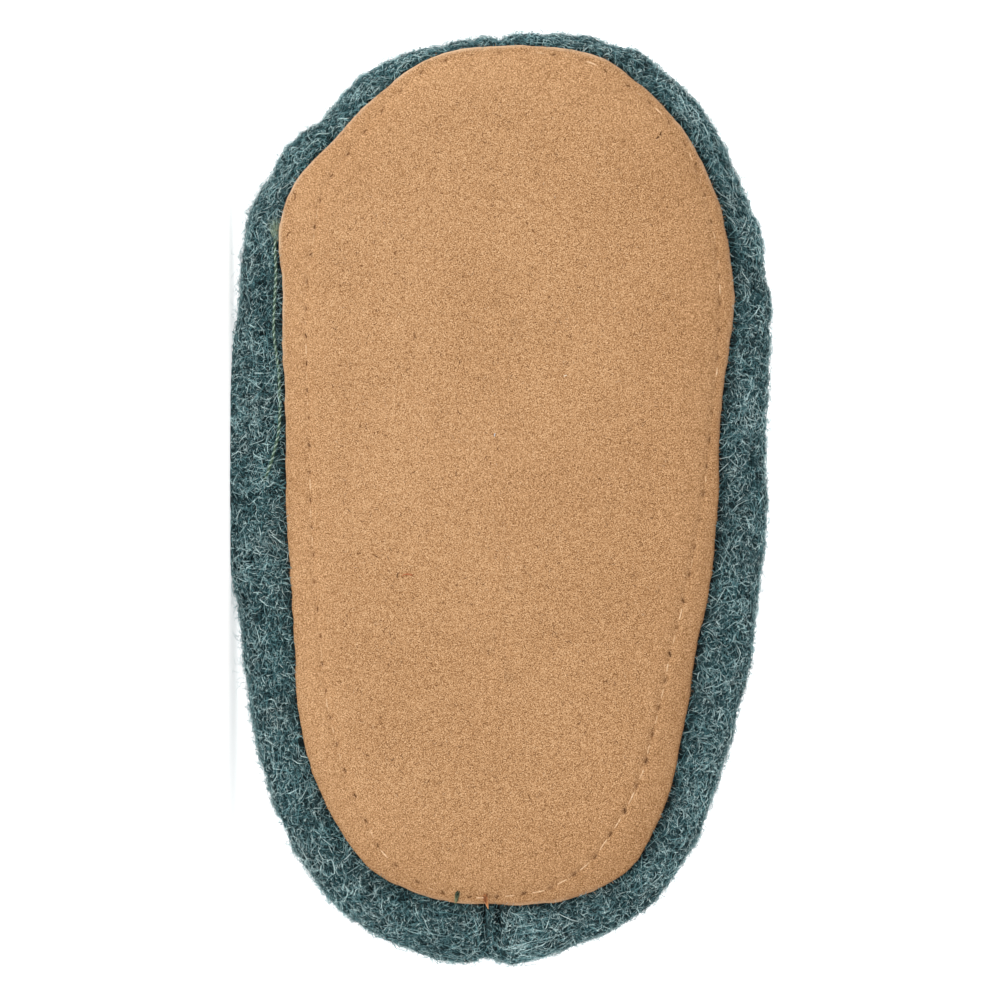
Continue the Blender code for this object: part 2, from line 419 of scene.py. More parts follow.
# Studio, in metres: the paper sweep, and each soft light's place, target, size and power
PAPER_GREY = 0.7
PAPER_GLOW = 0.7
SWEEP_RADIUS = 1.8
SWEEP_BEND = 0.5
SWEEP_HEIGHT = 2.2
SWEEP_SIDES = 64
AIR_LIGHT = 0.54
LIGHT_ROWS = (
    ("front", (-0.6, -0.95, 0.18), (0.0, 0.0, 0.03), (0.9, 0.34), 4.5),
    ("back", (0.0, 0.9, 1.7), (0.0, 1.8, 0.2), (2.4, 0.8), 6.0),
)

# Photo frame: pixels per millimetre on the tread, and the camera's distance from it
FRAME_PIXELS = 1000
PIXELS_PER_MM = 7.4
HEEL_PIXEL_Y = 907
CAMERA_DISTANCE = 750.0
SENSOR = 36.0

# Noise from whole numbers
HASH_MASK = np.uint64(0xFFFFFFFF)
HASH_FACTOR = np.uint64(0x45D9F3B)
HASH_SHIFT = np.uint64(16)
HASH_HALF = 0x7FFFFFFF
HASH_PRIMES = (73856093, 19349663, 83492791)
HASH_SEED = 911

random = np.random.default_rng(SEED)


def named(columns, rows):
    """A table's columns by name."""
    return dict(zip(columns, np.array(rows).T))


def unit(vectors):
    return vectors / np.maximum(np.linalg.norm(vectors, axis=-1, keepdims=True), 1e-12)


def fade(values):
    """Values held between 0 and 1."""
    return np.clip(values, 0.0, 1.0)


def hill(offset, half_width):
    """A smooth hill of height 1 at an offset from its middle."""
    return np.exp(-((offset / half_width) ** 2))


def smooth(knots, values, at):
    """A smooth curve through rows of values at increasing knots."""
    slopes = np.gradient(values, knots, axis=0)
    span = np.clip(np.searchsorted(knots, at, side="right") - 1, 0, len(knots) - 2)
    width = (knots[span + 1] - knots[span])[:, None]
    t = (at - knots[span])[:, None] / width
    start = (1.0 + 2.0 * t) * values[span] + t * width * slopes[span]
    end = (3.0 - 2.0 * t) * values[span + 1] + (t - 1.0) * width * slopes[span + 1]
    return start * (1.0 - t) ** 2 + end * t**2


def distance_along(points):
    """How far along its rows each point lies."""
    steps = np.linalg.norm(np.diff(points, axis=0), axis=-1)
    return np.concatenate((np.zeros_like(steps[:1]), np.cumsum(steps, axis=0)))


def heading_of(line, at):
    """The unit way that a line of plan points runs at places along it."""
    return unit(line(at + EDGE_PROBE) - line(at - EDGE_PROBE))


class Edge:
    """The sole's edge seen from above, read at places along it."""

    rows = np.array(EDGE_ROWS + EDGE_ROWS[:1])
    knots = distance_along(rows[:, :2])
    length = knots[-1]
    rows = np.concatenate((rows[-3:-1], rows, rows[1:2]))
    knots = np.concatenate((knots[-3:-1] - length, knots, knots[1:2] + length))

    def __init__(self, at):
        self.at = np.asarray(at, float)
        values = named(EDGE_COLUMNS, self.read(self.at))
        tangent = heading_of(lambda places: self.read(places)[:, :2], self.at)
        self.point = np.column_stack((values["along"], values["across"]))
        self.outward = np.column_stack((tangent[:, 1], -tangent[:, 0]))
        self.overhang = values["overhang"]
        self.sewn_in = values["sewn_in"]
        self.from_seam = self.signed(self.at)
        self.seam = SEAM_DEPTH * hill(self.from_seam, SEAM_HALF_WIDTH)

    @classmethod
    def read(cls, at):
        """The table's values at places along the edge."""
        return smooth(cls.knots, cls.rows, np.mod(at, cls.length))

    @classmethod
    def signed(cls, at):
        """Places along the edge as distances from the seam either way."""
        return np.mod(at + cls.length / 2.0, cls.length) - cls.length / 2.0

    @classmethod
    def whole(cls, count):
        """The edge all round, at even places."""
        return cls(np.arange(count) * cls.length / count)

    def inside(self, distance):
        """The edge moved in by a distance."""
        return self.point - self.outward * np.asarray(distance).reshape(-1, 1)

    def noise(self, size, seed, octaves=2):
        """Noise along the edge."""
        return fractal(raised(self.point), size, seed, octaves)


def raised(plan, height=0.0):
    """Points of a plan view at a height."""
    return np.concatenate((plan, np.broadcast_to(height, plan.shape[:-1])[..., None]), axis=-1)


def crown(distance):
    """How far the sole has curled up at a distance in from its edge."""
    return CROWN_RISE * fade(1.0 - np.asarray(distance) / CROWN_WIDTH) ** 2


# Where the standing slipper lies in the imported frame
outline = Edge.whole(2000).point
sole_low, sole_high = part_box("outsole")
HEEL_X = (sole_low.x + sole_high.x) / 2.0 / MM + (outline[:, 0].min() + outline[:, 0].max()) / 2.0
TREAD_Y = sole_low.y / MM
ROLL_BOTTOM = SOLE_THICKNESS + GAP + crown(LIP_START)


def to_world(points):
    """Standing millimetres to the lying slipper's metres."""
    points = np.asarray(points, float)
    x, y, z = points[..., 0], points[..., 1], points[..., 2]
    return np.stack((HEEL_X - x, TREAD_Y + z, FLOOR_FLAT + y), axis=-1) * MM


def mix_bits(values):
    """Well mixed 32-bit numbers from whole numbers."""
    values = values.astype(np.uint64) & HASH_MASK
    for _ in range(2):
        values = ((values >> HASH_SHIFT) ^ values) * HASH_FACTOR & HASH_MASK
    return ((values >> HASH_SHIFT) ^ values).astype(np.int64)


def lumps(points, size, seed=0):
    """Smooth noise from -1 to 1 at points, with lumps of a size."""
    scaled = np.asarray(points, float) / size
    cell = np.floor(scaled).astype(np.int64)
    f = scaled - cell
    f = f * f * (3.0 - 2.0 * f)
    total = np.zeros(scaled.shape[:-1])
    for corner in np.ndindex(2, 2, 2):
        key = seed * HASH_SEED
        for axis, prime in enumerate(HASH_PRIMES):
            key = mix_bits((cell[..., axis] + corner[axis]) * prime + key)
        weight = np.where(corner, f, 1.0 - f).prod(axis=-1)
        total += weight * (key / HASH_HALF - 1.0)
    return total


def fractal(points, size, seed=0, octaves=3):
    """Noise with finer lumps on its lumps."""
    return sum(lumps(points, size / 2.0**i, seed + i) / 2.0**i for i in range(octaves))


# Meshes from arrays


def placed(name, data):
    """A new object in the scene."""
    made = bpy.data.objects.new(name, data)
    bpy.context.scene.collection.objects.link(made)
    return made


def piece_from(name, shape, material, slot, **attributes):
    """A piece of the slipper from points and faces, with values for each point or each strand."""
    points, faces = shape
    count, corners = faces.shape
    mesh = bpy.data.meshes.new(name)
    mesh.vertices.add(len(points))
    mesh.vertices.foreach_set("co", to_world(points).astype(np.float32).ravel())
    mesh.loops.add(count * corners)
    mesh.loops.foreach_set("vertex_index", faces.astype(np.int32).ravel())
    mesh.polygons.add(count)
    mesh.polygons.foreach_set("loop_start", np.arange(0, count * corners, corners, dtype=np.int32))
    mesh.update(calc_edges=True)
    mesh.validate()
    mesh.shade_smooth()
    for key, values in attributes.items():
        values = np.repeat(values.ravel(), len(points) // values.size)
        attribute = mesh.attributes.new(key, "FLOAT", "POINT")
        attribute.data.foreach_set("value", values.astype(np.float32))
    mesh.materials.append(material)
    piece = placed(name, mesh)
    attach(piece, "root")
    return piece


def grid_faces(rows, columns, closed_rows=False):
    """Faces of a grid whose columns close, and whose rows close where asked."""
    row = np.arange(rows if closed_rows else rows - 1)[:, None] * columns
    column = np.arange(columns)
    after = (column + 1) % columns
    above = (row + columns) % (rows * columns)
    return np.stack((row + column, row + after, above + after, above + column), axis=-1).reshape(-1, 4)


def disc_faces(rows, columns):
    """Triangles of rings, closed at both ends by a fan to a point. The two points follow the rings."""
    quads = grid_faces(rows, columns)
    column = np.arange(columns)
    after = (column + 1) % columns
    total = rows * columns
    last_row = total - columns
    first = np.stack((np.full(columns, total), after, column), axis=1)
    last = np.stack((np.full(columns, total + 1), last_row + column, last_row + after), axis=1)
    return np.concatenate((first, quads[:, [0, 1, 2]], quads[:, [0, 2, 3]], last))


def strands(paths, radii, sides=3, capped=False):
    """Thin closed strands along paths, drawn to a point at the ends or, where capped, just past them."""
    count = len(paths)
    radii = np.broadcast_to(radii, count)[:, None, None]
    tangent = unit(np.gradient(paths, axis=1))
    side = unit(np.cross(tangent, ASKEW))[:, :, None]
    other = np.cross(tangent[:, :, None], side)
    angle = (np.arange(sides) * FULL_TURN / sides)[:, None]
    rings = paths[:, :, None] + (side * np.cos(angle) + other * np.sin(angle)) * radii[..., None]
    tips = paths[:, [0, -1]]
    if capped:
        tips = tips + tangent[:, [0, -1]] * radii * ((-1.0,), (1.0,))
    else:
        rings = rings[:, 1:-1]
    points = np.concatenate((rings.reshape(count, -1, 3), tips), axis=1)
    first = points.shape[1] * np.arange(count)[:, None, None]
    faces = disc_faces(rings.shape[1], sides) + first
    return points.reshape(-1, 3), faces.reshape(-1, 3)


def closed_disc(parts, start, end):
    """A shape from parts made of rings, closed by a point at either end."""
    rows = np.concatenate(parts)
    return np.concatenate((rows.reshape(-1, 3), [start, end])), disc_faces(*rows.shape[:2])


def toward_spine(inner, shares):
    """Plan rings from an inner ring towards the sole's middle line, and its places on that line."""
    low, high = np.array(SPINE)
    spine = low + (high - low) * fade((inner[:, 0] - low[0]) / (high[0] - low[0]))[:, None]
    w = shares[:, None, None]
    return inner * (1.0 - w) + spine * w, spine


# Materials


def srgb(red, green, blue):
    """A colour of the photo's scale, 0 to 255, as linear light."""
    scaled = np.array((red, green, blue)) / 255.0
    linear = np.where(scaled <= 0.04045, scaled / 12.92, ((scaled + 0.055) / 1.055) ** 2.4)
    return (*linear.tolist(), 1.0)


def grey(level):
    return (level, level, level, 1.0)


class Finish:
    """A Principled material and short ways to add its nodes."""

    def __init__(self, name, roughness, specular):
        self.material = bpy.data.materials.new(name)
        self.material.use_nodes = True
        self.tree = self.material.node_tree
        self.shader = self.tree.nodes["Principled BSDF"]
        self.set(self.shader, {"Roughness": roughness, "Specular IOR Level": specular})
        place = self.add("ShaderNodeTexCoord", "Object", {})
        self.place = self.add("ShaderNodeMapping", "Vector", {"Vector": place, "Rotation": NOISE_TURN})

    def set(self, node, inputs):
        """Give a node's inputs values, or link them to other nodes."""
        for key, value in inputs.items():
            if isinstance(value, bpy.types.NodeSocket):
                self.tree.links.new(value, node.inputs[key])
            else:
                node.inputs[key].default_value = value

    def add(self, kind, output, inputs, **settings):
        """A new node's output."""
        made = self.tree.nodes.new(kind)
        for key, value in settings.items():
            setattr(made, key, value)
        self.set(made, inputs)
        return made.outputs[output]

    def noise(self, size, **inputs):
        """Noise with lumps of a size in millimetres, around 0.5."""
        inputs |= {"Vector": self.place, "Scale": 1.0 / (size * MM)}
        return self.add("ShaderNodeTexNoise", "Fac", inputs)

    def attribute(self, name):
        return self.add("ShaderNodeAttribute", "Fac", {}, attribute_name=name)

    def math(self, operation, first, *others):
        """A sum or product of outputs and numbers."""
        for other in others:
            first = self.add("ShaderNodeMath", "Value", {0: first, 1: other}, operation=operation)
        return first

    def ramp(self, factor, stops):
        """Colours at stops from 0 to 1 along a factor."""
        made = self.tree.nodes.new("ShaderNodeValToRGB")
        self.set(made, {"Fac": factor})
        elements = made.color_ramp.elements
        while len(elements) < len(stops):
            elements.new(0.5)
        for element, (position, colour) in zip(elements, stops):
            element.position = position
            element.color = colour
        return made.outputs["Color"]

    def shades(self, factor, name):
        """A named row of colours along a factor."""
        return self.ramp(factor, [(stop, srgb(*colour)) for stop, *colour in SHADES[name]])

    def mix(self, factor, first, second):
        return self.add("ShaderNodeMix", 2, {0: factor, 6: first, 7: second}, data_type="RGBA")

    def colour(self, output):
        self.set(self.shader, {"Base Color": output})

    def bump(self, height, strength, depth):
        """Relief of a depth in millimetres."""
        inputs = {"Strength": strength, "Distance": depth * MM, "Height": height}
        self.set(self.shader, {"Normal": self.add("ShaderNodeBump", "Normal", inputs)})


def wool_finish():
    """The felted ground: teal, with painted shade in the knit's hollows, on the roll, by the sole and in
    the seam.
    """
    finish = Finish("wool", roughness=0.95, specular=0.08)
    wisps = finish.noise(size=0.3, Detail=4.0, Roughness=0.75, Distortion=1.4)
    clouds = finish.math("MULTIPLY", finish.noise(size=4.0), 0.3)
    colour = finish.shades(finish.math("ADD", wisps, clouds, -0.15), "wool")
    # Painted shade from high: darker in the knit's hollows and over the lip and roll
    colour = finish.mix(finish.attribute("high"), srgb(15, 29, 32), colour)
    # Near black painted shade beside the sole and in the heel seam's creases
    finish.colour(finish.mix(finish.attribute("deep"), colour, srgb(17, 15, 15)))
    finish.bump(wisps, strength=0.9, depth=0.4)
    return finish.material


def fibre_finish():
    """Single hairs, from near black teal to pale, greyer in patches."""
    finish = Finish("wool_fibre", roughness=0.75, specular=0.25)
    tint = finish.attribute("tint")
    patches = finish.ramp(finish.noise(size=5.0), ((0.45, grey(0.0)), (0.65, grey(0.28))))
    finish.colour(finish.mix(patches, finish.shades(tint, "teal_hair"), finish.shades(tint, "grey_hair")))
    return finish.material


def suede_finish():
    """Napped suede: fine grain, faint clouds, painted light and a painted edge highlight, painted shade at
    edge and slits.
    """
    finish = Finish("suede", roughness=0.92, specular=0.1)
    finish.set(finish.shader, {"Sheen Weight": 0.1, "Sheen Tint": srgb(240, 214, 184)})
    grain = finish.noise(size=0.14, Detail=1.0, Roughness=0.7)
    specks = finish.math("MULTIPLY", finish.noise(size=0.8, Roughness=0.7), 0.1)
    clouds = finish.math("MULTIPLY", finish.noise(size=18.0), 0.08)
    level = finish.math("ADD", grain, clouds, specks, finish.attribute("drift"), -0.15)
    colour = finish.shades(level, "suede")
    # cut paints a highlight on the cut edge; rim and hole paint shade along the margin and in the needle
    # slits
    for painted_light_mark, shade in (("cut", (222, 190, 158)), ("rim", (128, 92, 60)), ("hole", (66, 40, 24))):
        colour = finish.mix(finish.attribute(painted_light_mark), colour, srgb(*shade))
    finish.colour(colour)
    finish.bump(grain, strength=0.4, depth=0.07)
    return finish.material


def felt_finish():
    """Undyed wool felt."""
    finish = Finish("felt", roughness=0.97, specular=0.05)
    finish.set(finish.shader, {"Sheen Weight": 0.2})
    wisps = finish.noise(size=0.5, Detail=4.0, Roughness=0.7, Distortion=1.5)
    finish.colour(finish.shades(wisps, "felt"))
    finish.bump(wisps, strength=0.8, depth=0.35)
    return finish.material


def strand_finish(name, roughness=0.7, specular=0.25, tinted=False):
    """The shades of a name, along each strand's tint where tinted, or else along a fine noise."""
    finish = Finish(name, roughness, specular)
    level = finish.attribute("tint") if tinted else finish.noise(THREAD_GRAIN)
    finish.colour(finish.shades(level, name))
    return finish.material


# Wool upper


def collar_line(widest):
    """Where each column meets the collar, and how far it faces away from the toe."""
    middle = np.array(((COLLAR_BACK + COLLAR_FRONT) / 2.0, COLLAR_OFFSET))
    half = np.array(((COLLAR_FRONT - COLLAR_BACK) / 2.0, COLLAR_HALF_WIDTH))
    away = unit((widest - middle) / half)
    height = SIDE_HEIGHT + (THROAT_HEIGHT - SIDE_HEIGHT) * fade(away[:, 0]) ** 2
    height += (HEEL_HEIGHT - SIDE_HEIGHT) * fade(-away[:, 0]) ** 2
    return raised(middle + half * away, height), np.degrees(np.arccos(away[:, 0]))


def lip_and_roll(edge, depth, roll_rows):
    """Rows from the lip's inner edge out under the sole and up the roll, at a depth in the wall."""
    rows = []
    start = LIP_START + depth
    for distance in np.linspace(LIP_WIDTH, start, LIP_ROWS + 1):
        height = SOLE_THICKNESS + GAP + crown(max(distance - depth, 0.0)) + depth
        rows.append(raised(edge.inside(distance), height))
    fall = ROLL_HEIGHT - ROLL_BOTTOM - depth
    reach = edge.overhang - edge.seam - depth + start
    for angle in np.linspace(0.0, math.pi / 2.0, roll_rows + 1)[1:]:
        plan = edge.inside(start - reach * math.sin(angle))
        rows.append(raised(plan, ROLL_HEIGHT - fall * math.cos(angle)))
    return np.array(rows)


def wall_rows(edge, widest):
    """Rows of the outer face from its widest line up to the collar."""
    collar, facing = collar_line(widest[:, :2])
    table = named(RUN_COLUMNS, RUN_ROWS)
    run = {key: np.interp(facing, table["facing_deg"], table[key])[:, None] for key in RUN_COLUMNS}
    lean = np.radians(run["lean_deg"])
    inward = unit((collar - widest) * (1.0, 1.0, 0.0))
    collar = collar + inward * edge.seam[:, None]
    leave = widest + UP * run["rise"]
    arrive = collar - (UP * np.cos(lean) + inward * np.sin(lean)) * run["reach"]
    t = np.linspace(0.0, 1.0, WALL_ROWS + 1)[1:, None, None]
    s = 1.0 - t
    return s**3 * widest + 3.0 * s**2 * t * leave + 3.0 * s * t**2 * arrive + t**3 * collar


def around(grid):
    """Across each place of a face, between its neighbours in the closed rows."""
    return np.roll(grid, -1, axis=1) - np.roll(grid, 1, axis=1)


def outward_normals(grid):
    """Unit normals of a face of closed rows."""
    return unit(np.cross(around(grid), np.gradient(grid, axis=0)))


def stitch_relief(grid):
    """Height from 0 to 1 of the felted stitches, in uneven rows of two-legged lumps."""
    climb = distance_along(grid)
    courses = int(round(climb[-1].mean() / STITCH_HEIGHT))
    level = climb / climb[-1] * courses + COURSE_WANDER * fractal(grid, size=7.0, seed=31, octaves=2)
    drift = WALE_WANDER * fractal(grid, size=6.0, seed=41, octaves=2)
    relief = np.zeros(level.shape)
    for course in range(-1, courses + 1):
        within = level - course - 0.5
        ring = grid[np.abs(within).argmin(axis=0), np.arange(grid.shape[1])]
        along = distance_along(np.concatenate((ring, ring[:1])))
        wales = max(int(round(along[-1] / STITCH_WIDTH)), 8)
        along = along[:-1] / along[-1] * wales + 0.5 * (course % 2)
        for leg in (-1.0, 1.0):
            centre = leg * (LEG_APART + LEG_SPLAY * within)
            offset = np.mod(along + drift - centre + 0.5, 1.0) - 0.5
            round_leg = 1.0 - (offset / LEG_HALF_WIDTH) ** 2 - (within / LEG_HALF_HEIGHT) ** 2
            relief = np.maximum(relief, fade(round_leg) ** LEG_ROUNDNESS)
    return relief


def gap_shade(edge):
    """How strong the painted shade is on the wool right beside the sole, by side."""
    ahead, inner = edge.outward.T
    by_length = ahead**2 * np.where(ahead > 0.0, GAP_SHADE_TOE, GAP_SHADE_HEEL)
    return by_length + inner**2 * np.where(inner > 0.0, GAP_SHADE_INNER, GAP_SHADE_OUTER)


def wool_surface():
    """The wool's outer face, plain and knitted, how high each place stands in the knit, how much painted
    shade darkens it beside the sole and in the heel seam's creases, and how deep it lies in such a crease."""
    by_seam = np.linspace(-SEAM_REACH, SEAM_REACH, SEAM_COLUMNS, endpoint=False)
    rest = np.linspace(SEAM_REACH, Edge.length - SEAM_REACH, WOOL_COLUMNS - SEAM_COLUMNS, endpoint=False)
    edge = Edge(np.concatenate((by_seam, rest)))
    base = lip_and_roll(edge, 0.0, ROLL_ROWS)
    plain = np.concatenate((base, wall_rows(edge, base[-1])))
    knit = np.zeros(plain.shape[:2])
    knit[LIP_ROWS:] = stitch_relief(plain[LIP_ROWS:])
    relief = STITCH_RELIEF * (knit - 0.5) + LUMP_RELIEF * fractal(plain, LUMP_SIZE, seed=3, octaves=2) / 2.0
    rows = np.arange(len(plain))[:, None]
    crease = np.zeros(plain.shape[:2])
    fading = np.interp(rows, (LIP_ROWS + ROLL_ROWS * 0.5, LIP_ROWS + ROLL_ROWS * 0.8), (1.0, 0.35))
    for line, depth in SEAM_LINES:
        off = edge.from_seam - line + SEAM_WANDER * lumps(plain, size=3.0, seed=23)
        valley = hill(off, SEAM_LINE_HALF_WIDTH) * fading
        relief -= depth * valley
        crease = np.maximum(crease, valley)
    knit = knit * (1.0 - crease)
    bumps = named(BUMP_COLUMNS, BUMP_ROWS)
    hills = hill(edge.signed(edge.at[:, None] - bumps["at"]), bumps["half_width"])
    bulge = SCALLOPS * edge.noise(SCALLOP_SIZE, seed=33) + hills @ bumps["height"]
    bulge_rows = (WIDEST_ROW - ROLL_ROWS * 0.6, WIDEST_ROW, WIDEST_ROW + BULGE_ROWS_ABOVE)
    relief += bulge * np.interp(rows, bulge_rows, (0.0, 1.0, 0.0))
    relief -= KNIT_SINK
    relief *= fade((rows - LIP_ROWS) / RELIEF_STARTS)
    relief *= np.clip((len(plain) - 1 - rows) / RELIEF_ENDS, RELIEF_AT_RIM, 1.0)
    out = ((plain[..., :2] - edge.point) * edge.outward).sum(axis=2)
    out[WIDEST_ROW:] = edge.overhang
    # Painted shade on the wool right beside the sole and in the heel seam's creases
    gap = np.maximum(fade(1.0 - out / DARK_GAP) * gap_shade(edge), SEAM_SHADE * crease)
    outer = plain + outward_normals(plain) * relief[..., None]
    outer[..., 1] = np.maximum(outer[..., 1], -FLOOR_FLAT)
    return edge, plain, outer, knit, gap, crease


def wool_shell(edge, plain, outer, knit):
    """Rows of the upper as a closed shell, and how high each place stands in the knit."""
    kept = np.arange(len(plain) - 1, WIDEST_ROW, -INNER_STEP)
    inner_wall = (plain - outward_normals(plain) * WALL)[kept]
    base_rows = ROLL_ROWS // INNER_STEP
    inner_base = lip_and_roll(edge, WALL, base_rows)[::-1]
    middle = (outer[-1] + inner_wall[0]) / 2.0
    along = unit(plain[-1] - plain[-2])
    across = (outer[-1] - inner_wall[0]) / 2.0
    angle = np.linspace(0.0, math.pi, RIM_ROWS + 2)[1:-1, None, None]
    rim = middle + across * np.cos(angle) + along * np.sin(angle) * WALL / 2.0
    rows = np.concatenate((outer, rim, inner_wall, inner_base))
    inside = slice(len(outer), len(rows) - LIP_ROWS - 1)
    behind = np.concatenate((kept, LIP_ROWS + INNER_STEP * np.arange(base_rows, 0, -1)))
    back = np.full(rows.shape[:2], 0.5)
    back[: len(outer)] = knit
    back[len(outer) + RIM_ROWS : inside.stop] = 1.0 - knit[behind]
    lift = INSIDE_RELIEF * (back[inside] - 0.5) + INSIDE_LUMPS * fractal(rows[inside], LUMP_SIZE, seed=9)
    rows[inside] += outward_normals(rows)[inside] * lift[..., None]
    return rows, back


class WoolFace:
    """Reads places on the wool's shell, by fractional row and column."""

    def __init__(self, grid, knit, gap, crease):
        self.grid = grid
        self.knit = knit
        beyond = np.zeros((len(grid) - len(gap), grid.shape[1]))
        self.gap = np.concatenate((gap, beyond))
        self.crease = np.concatenate((crease, beyond))
        self.normals = outward_normals(grid)
        self.row_step = np.linalg.norm(np.gradient(grid, axis=0), axis=2)
        self.column_step = np.linalg.norm(around(grid) / 2.0, axis=2)
        self.areas = self.row_step[:-1] * self.column_step[:-1]
        self.row = np.arange(len(self.areas))[:, None]

    def read(self, values, row, column):
        rows, columns = self.grid.shape[:2]
        row = np.clip(row, 0.0, rows - 1.001)
        r, c = np.floor(row).astype(int), np.floor(column).astype(int)
        fr, fc = row - r, column - c
        if values.ndim == 3:
            fr, fc = fr[..., None], fc[..., None]
        c0, c1 = c % columns, (c + 1) % columns
        low = values[r, c0] * (1.0 - fc) + values[r, c1] * fc
        high = values[r + 1, c0] * (1.0 - fc) + values[r + 1, c1] * fc
        return low * (1.0 - fr) + high * fr

    def path(self, row, column, across, up, lift):
        """Points that run by millimetres around and up the face, lifted off it."""
        row_mm = np.maximum(self.read(self.row_step, row, column), 0.02)
        column_mm = np.maximum(self.read(self.column_step, row, column), 0.02)
        rows = np.maximum(row[:, None] + up / row_mm[:, None], LIP_ROWS + 1.0)
        columns = column[:, None] + across / column_mm[:, None]
        points = self.read(self.grid, rows, columns)
        points = points + self.read(self.normals, rows, columns) * lift[..., None]
        points[..., 1] = np.maximum(points[..., 1], 0.08 - FLOOR_FLAT)
        return points


def knit_upper(face, material):
    """The whole upper as one closed shell."""
    rows = np.arange(len(face.grid))[:, None]
    # Painted shade: the ground is darkened in the knit's hollows, and more on the lip and roll under the
    # hairs
    bare = np.interp(rows, (WIDEST_ROW, WIDEST_ROW + DARK_ROWS), (DARK_AT_ROLL, 1.0))
    high = bare * fade(0.15 + face.knit)
    shape = (face.grid.reshape(-1, 3), grid_faces(len(rows), WOOL_COLUMNS, closed_rows=True))
    # deep carries painted shade by the sole and in the seam's creases; high is low where painted shade
    # darkens the ground
    piece = piece_from("knit_upper", shape, material, "wool", deep=face.gap, high=high)
    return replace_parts(piece, "upper")


def scatter(weights, count):
    """Random fractional rows and columns of a grid's cells, by weight."""
    flat = weights.ravel() / weights.sum()
    picked = random.choice(len(flat), size=count, p=flat)
    row, column = np.divmod(picked, weights.shape[1])
    return row + random.random(count), column + random.random(count)


def curl_paths(face, row, column, length, lift):
    """Curled hairs that start in the wool and run over it in any direction."""
    count, knots = lift.shape
    heading = random.uniform(0.0, FULL_TURN, count)[:, None]
    bend = random.normal(0.0, FIBRE_CURL, count)[:, None]
    angle = heading + bend * np.linspace(0.0, 1.0, knots)
    step = length[:, None] / (knots - 1)
    across, up = np.cos(angle) * step, np.sin(angle) * step
    across = np.cumsum(across, axis=1) - across[:, :1]
    up = np.cumsum(up, axis=1) - up[:, :1]
    return face.path(row, column, across, up, lift)


def hair_tints(face, row, column, stand):
    """Tints of hairs, from 0 for the darkest to 1 for the palest."""
    half, mean = MEAN_STAND
    place = face.read(face.grid, row, column)
    tint = TINT_CHANCE * random.beta(*TINT_SPREAD, len(row))
    # Painted light: hairs that stand farther off, and hairs on the knit's tops, are paler
    tint += PAINTED_LIGHT_BY_STAND * (stand / (stand + half) - mean)
    tint += PAINTED_LIGHT_BY_KNIT * (face.read(face.knit, row, column) - MEAN_KNIT)
    # Tone in patches, and painted shade to the outer side
    tint += TINT_PATCHES * fractal(place, size=5.0, seed=11) - PAINTED_OUTER_SHADE * fade(-place[:, 1] / 30.0)
    # Painted shade beside the sole and in the seam's creases
    return fade(tint * (1.0 - PAINTED_GAP_SHADE_ON_HAIRS * face.read(face.gap, row, column)))


def beside_seam(paths):
    """Whether hairs may stay: few cross the creases of the heel seam, and more do farther out."""
    out = EDGE_ROWS[0][0] - paths[..., 0].max(axis=1)
    bridged = random.random(len(paths)) < np.clip(out / SEAM_SHOWS, 0.1, 1.0)
    crosses = np.zeros(len(paths), bool)
    for line, _ in SEAM_LINES:
        side = paths[..., 1] - Edge([line]).point[0, 1]
        crosses |= (side.min(axis=1) < 0.0) & (side.max(axis=1) > 0.0)
    return ~(crosses & (out > -SEAM_REACH) & ~bridged)


def add_fibres(name, layers, material):
    """One piece from layers of hairs, each with its paths, radii and tints."""
    points, faces, shades = [], [], []
    for paths, radii, tints in layers:
        kept = beside_seam(paths)
        made, triangles = strands(paths[kept], radii[kept])
        faces.append(triangles + sum(map(len, points)))
        points.append(made)
        shades.append(np.repeat(tints[kept], len(made) // kept.sum()))
    points, faces, shades = map(np.concatenate, (points, faces, shades))
    piece_from(name, (points, faces), material, "wool", tint=shades)


def wool_fibres(face, material):
    """Curled hairs: dense beside the sole, thinner over the wall and inside the collar."""
    row, height = face.row, face.grid[:-1, :, 2]
    free = (row >= LIP_ROWS + 3) & (face.grid[:-1, :, 1] > 0.05 - FLOOR_FLAT)
    bare = fade((1.0 - face.gap[:-1]) * DARK_GAP / BARE_GAP)
    seen = np.clip(-face.normals[:-1, :, 2], 0.25, 1.0) * (row < WIDEST_ROW + 4) * bare
    by_roll = BY_ROLL_SHARE * fade(1.0 - (row - WIDEST_ROW) / BY_ROLL_ROWS)
    wall = (WALL_SHARE + by_roll) * (row > WIDEST_ROW) * (row <= COLLAR_ROW + RIM_ROWS)
    below_collar = np.maximum(height[COLLAR_ROW] - height, 0.0)
    wall = wall + INSIDE_SHARE * hill(below_collar, INSIDE_DEPTH) * (row > COLLAR_ROW + RIM_ROWS)
    turn = np.arange(WOOL_COLUMNS) / WOOL_COLUMNS
    toe, heel = TOE_TURNS
    patches = (
        ("outer_side", 0.0, toe, seen, SEEN_LAYERS),
        ("toe", toe, heel, seen, SEEN_LAYERS),
        ("inner_side", heel, 1.0, seen, SEEN_LAYERS),
        ("wall", 0.0, 1.0, wall, WALL_LAYERS),
    )
    for part, low, high, share, layers in patches:
        open_wool = face.areas * share * (1.0 - 0.9 * face.crease[:-1])
        weights = np.where(free & (turn >= low) & (turn < high), open_wool, 0.0)
        hairs = []
        for density, mean_length, arch in layers:
            count = int(weights.sum() * density)
            place = scatter(weights, count)
            length = mean_length * random.lognormal(0.0, FIBRE_SPREAD, count)
            stand = random.gamma(*FIBRE_STAND, count)
            paths = curl_paths(face, *place, length, stand[:, None] * arch - FIBRE_ROOT)
            tints = hair_tints(face, *place, stand)
            radii = FIBRE_RADIUS * (0.75 + 0.5 * tints) * random.uniform(0.8, 1.2, count)
            hairs.append((paths, radii, tints))
        add_fibres("wool_fibres_" + part, hairs, material)


